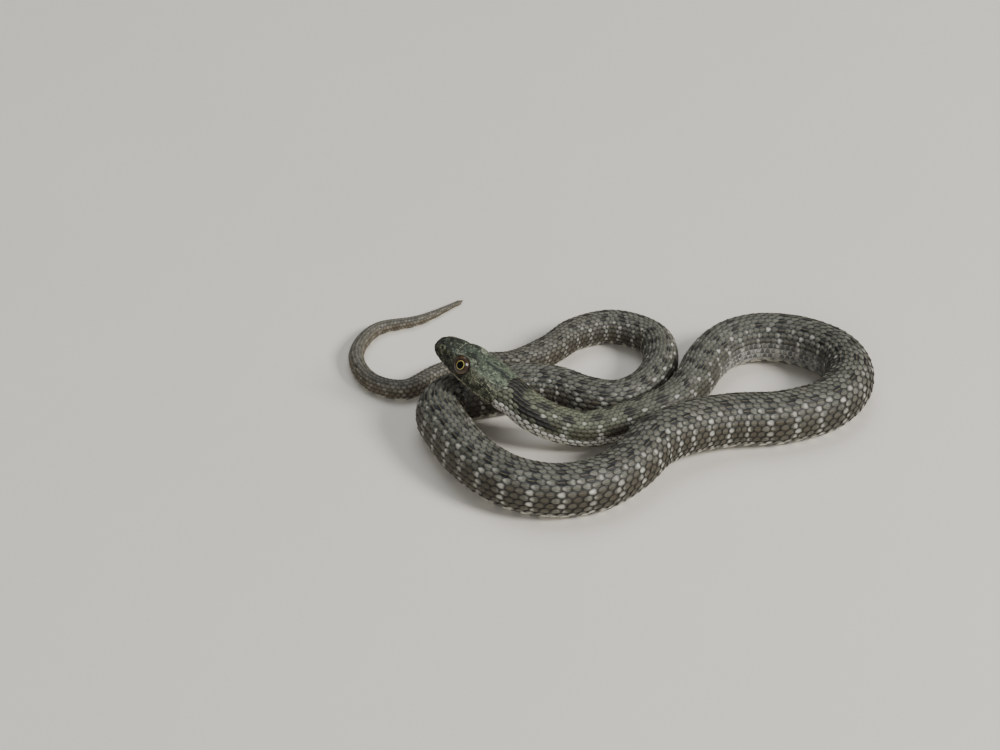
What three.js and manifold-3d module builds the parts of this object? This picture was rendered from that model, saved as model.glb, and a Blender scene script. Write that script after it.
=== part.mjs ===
// A young dice snake lying in loose coils, life size, in millimetres, +Z up, belly on the floor at z = 0.
// The snout points to the left and away, the tail tip lies at the far left.
import * as THREE from 'three';
import Module from 'manifold-3d';

// Overall sizes of the animal.
const HEAD_LENGTH = 17.8;
const HEAD_ROLL = THREE.MathUtils.degToRad(6);
const EYE_RADIUS = 1.75;
const EYE_BULGE = 0.75;
const EYE_FROM_SNOUT = 6.94;
const EYE_ASIDE = 3.07;
const EYE_ABOVE_AXIS = 1.44;
// The way an eye looks: forward, aside and up.
const EYE_LOOK = [0.22, 0.88, 0.42];
const JOINT_GAP = 0.4;
const RING_STEP = 3.0;
const RING_POINTS = 20;
const TRUNK_LENGTHS = 12;
const TAIL_LENGTHS = 3;

// Shape of a section of the body, as shares of the girth radius.
const SIDE_SHARE = 0.955;
const BACK_SHARE = 1.02;
const BELLY_SHARE = 0.95;

// The route of the spine from the back of the head to the vent: x, y and the lift of the belly off the floor.
const TRUNK_ROUTE = [
  [-18.8, -8.6, 5.7],
  [-15.1, -10.95, 4.0],
  [-10.6, -11.7, 2.2],
  [-5.3, -11.6, 0.9],
  [0.5, -10.0, 1.0],
  [6.4, -8.0, 1.8],
  [11.6, -4.3, 1.8],
  [15.6, 2.1, 1.0],
  [18.5, 9.6, 0.2],
  [22.6, 15.1, 0],
  [28.8, 17.7, 0],
  [37.3, 16.2, 0],
  [44.4, 10.4, 0],
  [45.6, 3.0, 0],
  [40.9, -4.6, 0],
  [31.9, -8.7, 0],
  [22.4, -10.1, 0.4],
  [13.9, -13.6, 1.2],
  [7.6, -18.1, 1.3],
  [3.1, -23.9, 0.5],
  [-3.2, -29.1, 0],
  [-10.9, -30.9, 0],
  [-19.1, -28.5, 0],
  [-25.9, -21.9, 0],
  [-30.3, -14.0, 0],
  [-32.5, -7.6, 0],
  [-31.0, -3.2, 0],
  [-26.8, -1.2, 0],
  [-21.1, 0.2, 0],
  [-15.6, 1.8, 0],
  [-10.2, 1.2, 0],
  [-4.6, -1.4, 0],
  [1.0, -2.0, 0],
  [6.2, 1.8, 0],
  [9.7, 9.6, 0],
  [8.9, 18.2, 0],
  [1.2, 23.1, 0],
  [-6.4, 20.9, 0],
  [-12.0, 15.2, 0],
];

// The route of the tail from the vent to its tip, on the floor.
const TAIL_ROUTE = [
  [-18.8, 11.2, 0],
  [-26.6, 11.4, 0],
  [-33.3, 8.4, 0],
  [-39.4, 4.0, 0],
  [-45.6, 6.4, 0],
  [-49.2, 15.3, 0],
  [-45.7, 24.6, 0],
  [-37.2, 28.5, 0],
  [-29.3, 35.4, 0],
];

// Girth: distance along the spine from the back of the head, and the radius there.
const GIRTH = [
  [0, 3.75],
  [12, 3.4],
  [24, 3.4],
  [35, 3.7],
  [46, 4.2],
  [60, 4.65],
  [80, 4.95],
  [122, 5.08],
  [190, 4.95],
  [214, 4.6],
  [238, 3.85],
  [262, 3.5],
  [288, 3.0],
  [303, 2.3],
  [320, 1.9],
  [340, 1.5],
  [353, 1.05],
  [364, 0.45],
];

// The head: distance from the snout, half width, height over the axis, depth under it.
const HEAD_SECTIONS = [
  [0.0, 0.9, 0.65, 0.65],
  [0.3, 1.65, 1.25, 1.15],
  [0.9, 2.2, 1.75, 1.6],
  [2.4, 2.8, 2.3, 2.05],
  [4.4, 3.35, 2.78, 2.35],
  [6.2, 3.75, 3.08, 2.5],
  [8.0, 4.0, 3.25, 2.65],
  [10.2, 4.15, 3.3, 2.9],
  [12.6, 4.25, 3.35, 3.2],
  [15.0, 4.3, 3.35, 3.4],
  [16.6, 4.05, 3.6, 3.5],
  [17.8, 3.58, 3.83, 3.56],
];

// The mouth line: distance from the snout and height over the axis.
const MOUTH_LINE = [
  [-1, -0.45],
  [2, -0.6],
  [5, -0.9],
  [8, -1.15],
  [11, -1.15],
  [13.5, -1.0],
  [15, -0.85],
];

function material(name, color, roughness) {
  const made = new THREE.MeshStandardMaterial({ color, roughness, metalness: 0 });
  made.name = name;
  return made;
}

// Straight lines between the pairs of a short list.
function along(list, at, column = 1) {
  let i = 1;
  while (i < list.length - 1 && at > list[i][0]) i += 1;
  const [a, b] = [list[i - 1], list[i]];
  const share = THREE.MathUtils.clamp((at - a[0]) / (b[0] - a[0]), 0, 1);
  return a[column] + (b[column] - a[column]) * share;
}

// A soft version of the same, so the girth has no corners.
function soft(list, at, column = 1, reach = 3) {
  let sum = 0;
  for (let k = -2; k <= 2; k += 1) sum += along(list, at + (k * reach) / 2, column);
  return sum / 5;
}

// The spine, shifted so that the whole animal is centred over the origin.
const CENTRING = new THREE.Vector3(0.07, -0.08, 0);
const routePoints = [...TRUNK_ROUTE, ...TAIL_ROUTE].map((p) => new THREE.Vector3(...p).add(CENTRING));
const curve = new THREE.CatmullRomCurve3(routePoints, false, 'centripetal');
curve.arcLengthDivisions = 3000;
const spineLength = curve.getLength();
const ventAt = (() => {
  const vent = routePoints[TRUNK_ROUTE.length];
  let best = 0;
  for (let k = 0; k <= 1000; k += 1) {
    const near = curve.getPointAt(k / 1000).distanceTo(vent);
    if (near < curve.getPointAt(best / 1000).distanceTo(vent)) best = k;
  }
  return (best / 1000) * spineLength;
})();

function girthAt(s) {
  return soft(GIRTH, (s / spineLength) * GIRTH[GIRTH.length - 1][0]);
}

// The place, the side and the up direction of the body at a distance along the spine.
function frameAt(s) {
  const share = THREE.MathUtils.clamp(s / spineLength, 0, 1);
  const radius = girthAt(s);
  const place = curve.getPointAt(share);
  const lift = Math.max(0, place.z);
  const tangent = curve.getTangentAt(share);
  tangent.z *= Math.min(1, lift / 0.5);
  tangent.normalize();
  const side = new THREE.Vector3().crossVectors(tangent, new THREE.Vector3(0, 0, 1)).normalize();
  const up = new THREE.Vector3().crossVectors(side, tangent).normalize();
  place.z = lift + BELLY_SHARE * radius;
  return { place, side, up, radius };
}

// One ring of the body: round back, flat belly.
function bodyRing(s) {
  const { place, side, up, radius } = frameAt(s);
  const ring = [];
  for (let k = 0; k < RING_POINTS; k += 1) {
    const angle = (2 * Math.PI * k) / RING_POINTS;
    const c = Math.cos(angle);
    const n = Math.sin(angle);
    const across = SIDE_SHARE * radius * c;
    const rise = n >= 0 ? BACK_SHARE * n : Math.max(-BELLY_SHARE, -1.03 * Math.abs(n) ** 0.9);
    ring.push(place.clone().addScaledVector(side, across).addScaledVector(up, rise * radius));
  }
  return ring;
}

// Rings joined into one closed mesh with a fan at each end.
function loft(rings) {
  const count = rings[0].length;
  const positions = [];
  const index = [];
  const middle = (ring) => ring.reduce((a, p) => a.add(p), new THREE.Vector3()).divideScalar(count);
  for (const ring of rings) for (const p of ring) positions.push(p.x, p.y, p.z);
  for (let r = 0; r < rings.length - 1; r += 1) {
    for (let k = 0; k < count; k += 1) {
      const a = r * count + k;
      const b = r * count + ((k + 1) % count);
      index.push(a, a + count, b);
      index.push(b, a + count, b + count);
    }
  }
  const first = middle(rings[0]);
  const last = middle(rings[rings.length - 1]);
  const end = rings.length * count;
  positions.push(first.x, first.y, first.z, last.x, last.y, last.z);
  for (let k = 0; k < count; k += 1) {
    const next = (k + 1) % count;
    index.push(end, k, next);
    index.push(end + 1, end - count + next, end - count + k);
  }
  const geometry = new THREE.BufferGeometry();
  geometry.setAttribute('position', new THREE.Float32BufferAttribute(positions, 3));
  geometry.setIndex(index);
  return geometry;
}

// A length of the body between two distances.
function bodyLength(from, to) {
  const steps = Math.max(2, Math.round((to - from) / RING_STEP));
  const rings = [];
  for (let k = 0; k <= steps; k += 1) rings.push(bodyRing(from + ((to - from) * k) / steps));
  return loft(rings);
}

// The head's own frame: forward to the snout, left, and up, from the back of the head.
// It lies rolled a little, with the crown leaning away from the left cheek.
const nape = frameAt(0);
const forward = curve.getTangentAt(0).negate().normalize();
const left = new THREE.Vector3().crossVectors(new THREE.Vector3(0, 0, 1), forward).normalize();
left.applyAxisAngle(forward, HEAD_ROLL);
const crown = new THREE.Vector3().crossVectors(forward, left);

function headPoint(fromSnout, aside, above) {
  return nape.place
    .clone()
    .addScaledVector(forward, HEAD_LENGTH - fromSnout)
    .addScaledVector(left, aside)
    .addScaledVector(crown, above);
}

// A boxy section: flat crown, steep cheeks, narrower chin.
function headRing(fromSnout) {
  const width = soft(HEAD_SECTIONS, fromSnout, 1, 0.5);
  const top = soft(HEAD_SECTIONS, fromSnout, 2, 0.5);
  const depth = soft(HEAD_SECTIONS, fromSnout, 3, 0.5);
  const boxy = THREE.MathUtils.lerp(0.72, 1, THREE.MathUtils.smoothstep(fromSnout, 12.5, 17.8));
  const ring = [];
  const count = RING_POINTS + 4;
  for (let k = 0; k < count; k += 1) {
    const angle = (2 * Math.PI * k) / count;
    const c = Math.cos(angle);
    const n = Math.sin(angle);
    const chin = n < 0 ? 1 - 0.16 * n * n : 1;
    const across = Math.sign(c) * Math.abs(c) ** boxy * width * chin;
    const above = n >= 0 ? top * n ** boxy : -depth * Math.abs(n) ** Math.max(boxy, 0.85);
    ring.push(headPoint(fromSnout, across, above));
  }
  return ring;
}

// three.js geometry to a manifold solid and back.
const wasm = await Module();
wasm.setup();

function toManifold(geometry) {
  const position = geometry.getAttribute('position');
  const mesh = new wasm.Mesh({
    numProp: 3,
    vertProperties: Float32Array.from(position.array),
    triVerts: Uint32Array.from(geometry.getIndex().array),
  });
  mesh.merge();
  return new wasm.Manifold(mesh);
}

function fromManifold(solid) {
  const mesh = solid.getMesh();
  const geometry = new THREE.BufferGeometry();
  geometry.setAttribute('position', new THREE.Float32BufferAttribute(mesh.vertProperties, 3));
  geometry.setIndex(new THREE.Uint32BufferAttribute(mesh.triVerts, 1));
  return geometry;
}

// A flat outline in the head's side view, made as a slab right across the head.
function headSlab(outline) {
  const half = 8;
  const near = outline.map(([t, z]) => headPoint(t, -half, z));
  const far = outline.map(([t, z]) => headPoint(t, half, z));
  return toManifold(loft([near, far]));
}

// The flat round eye, as rings about the line that it looks along. Its socket is larger all round.
function eyeball(sign, larger = 0) {
  const middle = headPoint(EYE_FROM_SNOUT, sign * EYE_ASIDE, EYE_ABOVE_AXIS);
  const [ahead, aside, above] = EYE_LOOK;
  const look = new THREE.Vector3()
    .addScaledVector(forward, ahead)
    .addScaledVector(left, sign * aside)
    .addScaledVector(crown, above)
    .normalize();
  const across = new THREE.Vector3().crossVectors(look, crown).normalize();
  const upright = new THREE.Vector3().crossVectors(across, look);
  const radius = EYE_RADIUS + larger;
  const bulge = EYE_BULGE + larger;
  const rings = [];
  for (let r = 1; r < 12; r += 1) {
    const polar = (Math.PI * r) / 12;
    const ring = [];
    for (let k = 0; k < 18; k += 1) {
      const turn = (-2 * Math.PI * k) / 18;
      ring.push(
        middle
          .clone()
          .addScaledVector(look, bulge * Math.cos(polar))
          .addScaledVector(across, radius * Math.sin(polar) * Math.cos(turn))
          .addScaledVector(upright, radius * Math.sin(polar) * Math.sin(turn)),
      );
    }
    rings.push(ring);
  }
  return loft(rings);
}

const HEAD_STATIONS = [0, 0.25, 0.6, 1.1, 1.9, 3, 4.2, 5.4, 6.6, 8, 9.6, 11.2, 12.8, 14.2, 15.4, 16.4, 17.1];
const headRings = [...HEAD_STATIONS, HEAD_LENGTH - JOINT_GAP / 2].map(headRing);
const wholeHead = toManifold(loft(headRings));

const mouthCorner = MOUTH_LINE[MOUTH_LINE.length - 1];
const jawOutline = [...MOUTH_LINE, [mouthCorner[0], -8], [-1, -8]];
const slotOutline = [
  ...MOUTH_LINE.map(([t, z]) => [t, z + JOINT_GAP]),
  [mouthCorner[0] + JOINT_GAP, mouthCorner[1] + JOINT_GAP],
  [mouthCorner[0] + JOINT_GAP, -8],
  [-1, -8],
];
const lowerJaw = wholeHead.intersect(headSlab(jawOutline));
let upperHead = wholeHead.subtract(headSlab(slotOutline));
for (const sign of [1, -1]) upperHead = upperHead.subtract(toManifold(eyeball(sign, JOINT_GAP + 0.03)));

const skinColour = '#6f6c62';
const group = new THREE.Group();
group.name = 'coiled_snake';

function addNode(name, geometry, finish) {
  const mesh = new THREE.Mesh(geometry, finish);
  mesh.name = name;
  group.add(mesh);
}

addNode('head', fromManifold(upperHead), material('head_skin', '#66695f', 0.5));
addNode('lower_jaw', fromManifold(lowerJaw), material('jaw_skin', '#8d8a78', 0.5));
addNode('eye_left', eyeball(1), material('eye_left', '#3a2a1c', 0.1));
addNode('eye_right', eyeball(-1), material('eye_right', '#3a2a1c', 0.1));

// The neck, the trunk in equal lengths up to the vent, and the tail in its own lengths.
const NECK_LENGTH = 24;
const cuts = [['neck', 0, NECK_LENGTH]];
for (let k = 0; k < TRUNK_LENGTHS; k += 1) {
  const each = (ventAt - NECK_LENGTH) / TRUNK_LENGTHS;
  cuts.push([`trunk_${k + 1}`, NECK_LENGTH + k * each, NECK_LENGTH + (k + 1) * each]);
}
for (let k = 0; k < TAIL_LENGTHS; k += 1) {
  const each = (spineLength - ventAt) / TAIL_LENGTHS;
  cuts.push([`tail_${k + 1}`, ventAt + k * each, ventAt + (k + 1) * each]);
}
for (const [name, from, to] of cuts) {
  const end = to > spineLength - 1 ? spineLength : to - JOINT_GAP / 2;
  addNode(name, bodyLength(from + JOINT_GAP / 2, end), material(`${name}_skin`, skinColour, 0.55));
}

export default group;
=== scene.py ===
import math

import bpy
import numpy as np
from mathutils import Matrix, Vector


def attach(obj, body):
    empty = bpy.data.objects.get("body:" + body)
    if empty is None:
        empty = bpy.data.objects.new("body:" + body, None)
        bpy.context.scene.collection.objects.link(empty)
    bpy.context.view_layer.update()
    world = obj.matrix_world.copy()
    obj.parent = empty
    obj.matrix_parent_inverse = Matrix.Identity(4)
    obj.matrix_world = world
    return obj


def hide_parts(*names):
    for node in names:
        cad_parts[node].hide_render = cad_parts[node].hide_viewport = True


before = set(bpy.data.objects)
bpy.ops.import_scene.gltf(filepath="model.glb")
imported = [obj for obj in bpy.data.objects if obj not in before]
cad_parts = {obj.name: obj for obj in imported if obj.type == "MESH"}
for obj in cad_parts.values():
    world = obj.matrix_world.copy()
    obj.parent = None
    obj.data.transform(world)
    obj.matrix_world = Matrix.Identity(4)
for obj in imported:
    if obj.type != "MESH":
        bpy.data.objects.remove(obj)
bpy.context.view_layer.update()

# ------------------------ the hide
# One thin, dark, stretchy skin wraps the whole snake from snout to tail tip.
# It is laid along the spine's loops; the scales grow from it and overlap, and
# it shows only as dark lines between them and in the creases of tight bends.

MM = 0.001
# sizes are in millimetres, and distances run from the back of the head to the tail
HEAD_LENGTH = 17.8
HEAD_ROLL = math.radians(6)
TWIST_REACH = 16.0
HIDE_DEPTH = -0.30
# half width, height and depth of a section of the body, as shares of its radius
SIDE_SHARE, BACK_SHARE, BELLY_SHARE = 0.955, 1.02, 0.95
# how finely the body is measured: along it, half way round it, and by turn round the head
STATION_COUNT, HALF_ROUND, TURN_STEPS = 1878, 80, 300

# the spine from the back of the head to the tail tip: x, y, lift of the belly
ROUTE = np.array([
    (-18.8, -8.6, 5.7), (-15.1, -10.95, 4.0), (-10.6, -11.7, 2.2), (-5.3, -11.6, 0.9),
    (0.5, -10.0, 1.0), (6.4, -8.0, 1.8), (11.6, -4.3, 1.8), (15.6, 2.1, 1.0),
    (18.5, 9.6, 0.2), (22.6, 15.1, 0), (28.8, 17.7, 0), (37.3, 16.2, 0),
    (44.4, 10.4, 0), (45.6, 3.0, 0), (40.9, -4.6, 0), (31.9, -8.7, 0),
    (22.4, -10.1, 0.4), (13.9, -13.6, 1.2), (7.6, -18.1, 1.3), (3.1, -23.9, 0.5),
    (-3.2, -29.1, 0), (-10.9, -30.9, 0), (-19.1, -28.5, 0), (-25.9, -21.9, 0),
    (-30.3, -14.0, 0), (-32.5, -7.6, 0), (-31.0, -3.2, 0), (-26.8, -1.2, 0),
    (-21.1, 0.2, 0), (-15.6, 1.8, 0), (-10.2, 1.2, 0), (-4.6, -1.4, 0),
    (1.0, -2.0, 0), (6.2, 1.8, 0), (9.7, 9.6, 0), (8.9, 18.2, 0),
    (1.2, 23.1, 0), (-6.4, 20.9, 0), (-12.0, 15.2, 0), (-18.8, 11.2, 0),
    (-26.6, 11.4, 0), (-33.3, 8.4, 0), (-39.4, 4.0, 0), (-45.6, 6.4, 0),
    (-49.2, 15.3, 0), (-45.7, 24.6, 0), (-37.2, 28.5, 0), (-29.3, 35.4, 0),
]) + (0.07, -0.08, 0)
VENT_POINT = 39
# distance along the spine and the radius of the body there
GIRTH = np.array([
    (0, 3.75), (12, 3.4), (24, 3.4), (35, 3.7), (46, 4.2), (60, 4.65),
    (80, 4.95), (122, 5.08), (190, 4.95), (214, 4.6), (238, 3.85), (262, 3.5),
    (288, 3.0), (303, 2.3), (320, 1.9), (340, 1.5), (353, 1.05), (364, 0.45),
])
# the head: distance from the snout, half width, height over its axis, depth under it
HEAD_SECTIONS = np.array([
    (0.0, 0.9, 0.65, 0.65), (0.3, 1.65, 1.25, 1.15), (0.9, 2.2, 1.75, 1.6),
    (2.4, 2.8, 2.3, 2.05), (4.4, 3.35, 2.78, 2.35), (6.2, 3.75, 3.08, 2.5),
    (8.0, 4.0, 3.25, 2.65), (10.2, 4.15, 3.3, 2.9), (12.6, 4.25, 3.35, 3.2),
    (15.0, 4.3, 3.35, 3.4), (16.6, 4.05, 3.6, 3.5), (17.8, 3.58, 3.83, 3.56),
])


def smooth(x, low, high):
    """0 below low, 1 above high and soft between them."""
    share = np.clip((np.asarray(x, float) - low) / (high - low), 0, 1)
    return share * share * (3 - 2 * share)


def unit(rows):
    """Rows of numbers turned into directions of length 1."""
    return rows / np.maximum(np.linalg.norm(rows, axis=-1, keepdims=True), 1e-12)


def softly(table, at, column, reach):
    """A value from a short table, averaged over a reach so that it has no corners."""
    places, numbers = table[:, 0], table[:, column]
    return sum(np.interp(at + k * reach / 2, places, numbers) for k in range(-2, 3)) / 5


def spine_line():
    """The route as one smooth line, in short even steps, with each route point's distance."""
    line, marks, steps = [], [], 120
    ends = np.vstack([2 * ROUTE[0] - ROUTE[1], ROUTE, 2 * ROUTE[-1] - ROUTE[-2]])
    for i in range(len(ROUTE) - 1):
        p0, p1, p2, p3 = ends[i:i + 4]
        d0, d1, d2 = (np.linalg.norm(b - a) ** 0.5 for a, b in ((p0, p1), (p1, p2), (p2, p3)))
        leave = ((p1 - p0) / d0 - (p2 - p0) / (d0 + d1) + (p2 - p1) / d1) * d1
        arrive = ((p2 - p1) / d1 - (p3 - p1) / (d1 + d2) + (p3 - p2) / d2) * d1
        u = np.linspace(0, 1, steps, endpoint=False)[:, None]
        marks.append(i * steps)
        line.append(
            p1 + u * leave + u**2 * (3 * (p2 - p1) - 2 * leave - arrive)
            + u**3 * (2 * (p1 - p2) + leave + arrive)
        )
    line = np.vstack(line + [ROUTE[-1:]])
    run = np.append(0, np.cumsum(np.linalg.norm(np.diff(line, axis=0), axis=1)))
    return line, run, run[marks]


spine, spine_run, route_run = spine_line()
SPINE_LENGTH = spine_run[-1]
VENT = route_run[VENT_POINT]
WHOLE_LENGTH = SPINE_LENGTH + HEAD_LENGTH

stations, STEP = np.linspace(-HEAD_LENGTH, SPINE_LENGTH, STATION_COUNT, retstep=True)
rounds = np.linspace(-1, 1, 2 * HALF_ROUND + 1)


def girth_at(along):
    """The body's radius at a distance along it."""
    share = np.clip(along, 0, SPINE_LENGTH) / SPINE_LENGTH
    return softly(GIRTH, share * GIRTH[-1, 0], 1, 3)


def axes_at(along):
    """Place, left side, up and radius of the body; over the head they run straight on."""
    body = np.clip(along, 0, SPINE_LENGTH)
    before, place, after = (
        np.stack([np.interp(at, spine_run, axis) for axis in spine.T], 1)
        for at in (body - 0.05, body, body + 0.05)
    )
    radius, lift = girth_at(along), np.maximum(0, place[:, 2])
    tangent = unit(after - before)
    tangent[:, 2] *= np.minimum(1, lift / 0.5)
    tangent = unit(tangent)
    side = unit(np.cross(tangent, (0, 0, 1.0)))
    up = unit(np.cross(side, tangent))
    place[:, 2] = lift + BELLY_SHARE * radius
    place += tangent * np.minimum(along, 0)[:, None]
    roll = (HEAD_ROLL * (1 - smooth(along, 0, TWIST_REACH)))[:, None]
    left = side * np.cos(roll) + up * np.sin(roll)
    return place, left, up * np.cos(roll) - side * np.sin(roll), tangent, radius


def half_outline(along, radius):
    """Half a section, from the ridge to the middle of the belly: across, up and the run round it."""
    turn = np.linspace(0, np.pi, TURN_STEPS + 1)
    c, n = np.sin(turn), np.cos(turn)
    low = np.abs(n)
    if along < 0:
        at = along + HEAD_LENGTH
        width, top, depth = (softly(HEAD_SECTIONS, at, k, 0.5) for k in (1, 2, 3))
        boxy = 0.72 + 0.28 * float(smooth(at, 12.5, HEAD_LENGTH))
    else:
        width, top, depth, boxy = SIDE_SHARE * radius, BACK_SHARE * radius, BELLY_SHARE * radius, 1.0
    across = c**boxy * width * np.where(n < 0, 1 - 0.16 * n * n, 1)
    above = np.where(n >= 0, top * low**boxy, -depth * low ** max(boxy, 0.85))
    if along >= 0:
        # behind the head the section soon becomes round with a flat belly
        flat = np.where(n >= 0, BACK_SHARE * n, np.maximum(-BELLY_SHARE, -1.03 * low**0.9)) * radius
        share = min(1.0, along / 8)
        across = across * (1 - share) + SIDE_SHARE * radius * c * share
        above = above * (1 - share) + flat * share
    return across, above, np.append(0, np.cumsum(np.hypot(np.diff(across), np.diff(above))))


def body_surface():
    """The body's outer surface as a table over distance along it and share of the way round."""
    place, left, up, _, radius = axes_at(stations)
    rows, halves = [], []
    for k, along in enumerate(stations):
        across, above, run = half_outline(along, radius[k])
        even = np.linspace(0, run[-1], HALF_ROUND + 1)
        across, above = np.interp(even, run, across), np.interp(even, run, above)
        across, above = np.append(-across[:0:-1], across), np.append(above[:0:-1], above)
        rows.append(place[k] + across[:, None] * left[k] + above[:, None] * up[k])
        halves.append(run[-1])
    return np.array(rows), np.array(halves)


surface, half_round = body_surface()

# where bends squeeze the flank the hide rises in creases; where they pull, it opens
CREASE_WAVE = 3.4
CREASE_HEIGHT = 0.24


def surface_slopes(points):
    """How fast the surface runs along the body at each place, and its outward direction."""
    run = np.gradient(points, axis=0) / STEP
    ring = points[:, :-1]
    turn = np.roll(ring, -1, axis=1) - np.roll(ring, 1, axis=1)
    turn = np.concatenate([turn, turn[:, :1]], axis=1)
    return np.linalg.norm(run, axis=2), unit(np.cross(turn, run))


stretch, outward = surface_slopes(surface)
squeezed = smooth(0.56 - stretch, 0, 0.22) * (stations > 20)[:, None]
wave = np.sin(2 * np.pi * (stations[:, None] + 1.5 * rounds) / CREASE_WAVE)
crease = CREASE_HEIGHT * squeezed * wave
surface = surface + outward * (crease - 0.5 * CREASE_HEIGHT * squeezed)[..., None]
outward = surface_slopes(surface)[1]


def between_entries(table, i, j):
    """A table read at places between its rows and columns."""
    i, j = np.clip(i, 0, len(table) - 1.001), np.clip(j, 0, table.shape[1] - 1.001)
    i0, j0 = i.astype(int), j.astype(int)
    a, b = i - i0, j - j0
    if table.ndim == 3:
        a, b = a[..., None], b[..., None]
    return (
        table[i0, j0] * (1 - a) * (1 - b) + table[i0 + 1, j0] * a * (1 - b)
        + table[i0, j0 + 1] * (1 - a) * b + table[i0 + 1, j0 + 1] * a * b
    )


def table_at(table, along, share):
    """A table over the body read between its entries. A share of 1 is the middle of the belly."""
    return between_entries(table, (along + HEAD_LENGTH) / STEP, ((share + 1) % 2) * HALF_ROUND)


def lay(along, share, height):
    """Points at a height over the body's surface, in millimetres."""
    places = (np.asarray(given, float) for given in (along, share, height))
    along, share, height = np.broadcast_arrays(*places)
    return table_at(surface, along, share) + table_at(outward, along, share) * height[..., None]


def half_round_at(along):
    """The way from the ridge round one side to the middle of the belly."""
    return np.interp(along, stations, half_round)


def grid_faces(rows, columns, closed=False):
    """Quads between the points of a grid; a closed grid joins its last column to its first."""
    across = columns if closed else columns - 1
    r, c = np.meshgrid(np.arange(rows - 1), np.arange(across), indexing="ij")
    a, b = r * columns + c, r * columns + (c + 1) % columns
    return np.stack([a, b, b + columns, a + columns], -1).reshape(-1, 4)


def tube_faces(rows, columns):
    """A tube of rings with one face over each end."""
    ring = np.arange(columns)[None]
    return [grid_faces(rows, columns, closed=True), ring[:, ::-1], ring + (rows - 1) * columns]


def copies(faces, count, corners):
    """The same block of faces for each of many like pieces of one mesh."""
    return (faces + (np.arange(count) * corners)[:, None, None]).reshape(-1, faces.shape[-1])


def make_piece(name, points, faces, values=None, bake_map=None):
    """A smooth mesh piece in metres, from blocks of faces with equal corners in a block."""
    mesh = bpy.data.meshes.new(name)
    corners = np.concatenate([block.ravel() for block in faces]).astype(np.int32)
    counts = np.concatenate([np.full(len(block), block.shape[1]) for block in faces])
    starts = (np.cumsum(counts) - counts).astype(np.int32)
    mesh.vertices.add(len(points))
    mesh.vertices.foreach_set("co", (np.asarray(points) * MM).astype(np.float32).ravel())
    mesh.loops.add(len(corners))
    mesh.loops.foreach_set("vertex_index", corners)
    mesh.polygons.add(len(counts))
    mesh.polygons.foreach_set("loop_start", starts)
    mesh.update(calc_edges=True)
    mesh.polygons.foreach_set("use_smooth", np.ones(len(counts), bool))
    for key, numbers in (values or {}).items():
        layer = mesh.attributes.new(key, "FLOAT", "POINT")
        layer.data.foreach_set("value", np.asarray(numbers, np.float32).ravel())
    if bake_map is not None:
        layer = mesh.uv_layers.new(name="OFBake")
        layer.uv.foreach_set("vector", bake_map[corners].astype(np.float32).ravel())
    made = bpy.data.objects.new(name, mesh)
    bpy.context.scene.collection.objects.link(made)
    return made


def unrolled(along, share):
    """The hide laid out flat as one long strip, at its true proportions."""
    return np.stack([
        (along + HEAD_LENGTH) / WHOLE_LENGTH,
        0.5 + share * half_round_at(along) / WHOLE_LENGTH,
    ], -1)


class Tint:
    """A value or colour that varies over a surface, so that a finish is written as a sum."""

    def __init__(self, finish, socket):
        self.finish, self.socket = finish, socket

    def sum(self, operation, *given):
        return self.finish.node("ShaderNodeMath", {"operation": operation}, *given)

    def __add__(self, other):
        return self.sum("ADD", self, other)

    def __sub__(self, other):
        return self.sum("SUBTRACT", self, other)

    def __rsub__(self, other):
        return self.sum("SUBTRACT", other, self)

    def __mul__(self, other):
        return self.sum("MULTIPLY", self, other)

    def __truediv__(self, other):
        return self.sum("DIVIDE", self, other)

    def or_more(self, other):
        return self.sum("MAXIMUM", self, other)

    def over(self, low, high):
        """0 below low, 1 above high and soft between them."""
        return self.finish.node(
            "ShaderNodeMapRange", {"interpolation_type": "SMOOTHSTEP"},
            Value=self, From_Min=low, From_Max=high,
        )

    def under(self, low, high):
        return 1 - self.over(low, high)

    __radd__, __rmul__ = __add__, __mul__


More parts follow.
